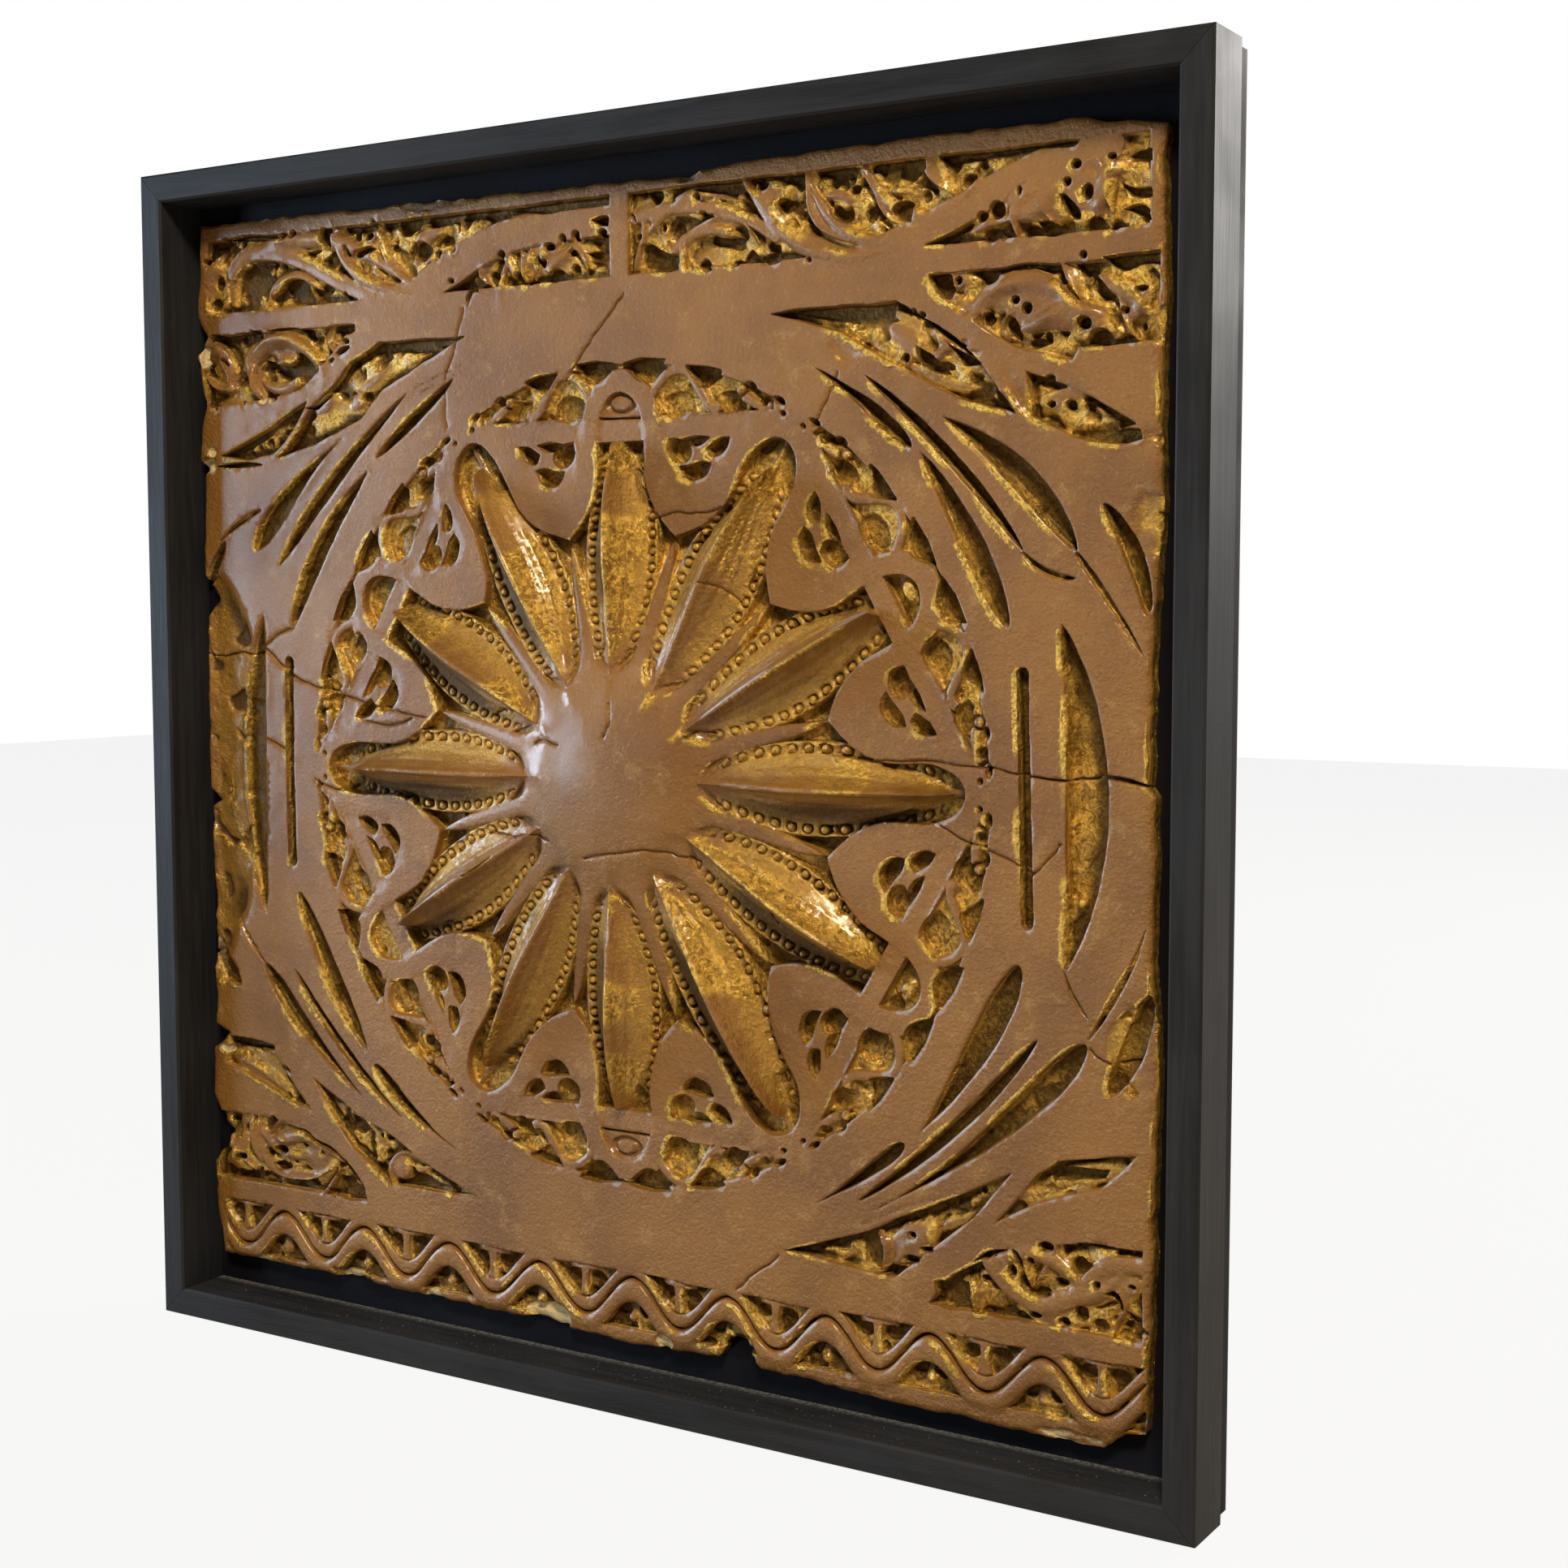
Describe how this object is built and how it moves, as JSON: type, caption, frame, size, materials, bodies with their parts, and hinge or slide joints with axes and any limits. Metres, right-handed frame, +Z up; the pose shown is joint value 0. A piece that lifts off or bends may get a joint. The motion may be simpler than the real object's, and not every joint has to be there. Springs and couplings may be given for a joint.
{
  "type": "architectural ornament panel",
  "caption": "Square carved plaster wall panel: a rosette of raised pods in a lobed ribbon, leaf scrolls and a wave border, set in a shallow dark box frame.",
  "frame": {"origin": "centre of the backboard's rear face, on the wall", "axes": "+Z is up along the wall, +X is to the right seen from the front, and -Y points out of the wall towards the viewer"},
  "size_m": [0.77, 0.0508, 0.787],
  "materials": {
    "painted_plaster": "worn bronze and gold paint over plaster",
    "stained_wood": "satin charcoal stain",
    "black_board": "matt black paint"
  },
  "bodies": {
    "root": {"plaster_panel": "painted_plaster", "rail_top": "stained_wood", "rail_bottom": "stained_wood", "rail_left": "stained_wood", "rail_right": "stained_wood", "backboard": "black_board"}
  },
  "joints": []
}
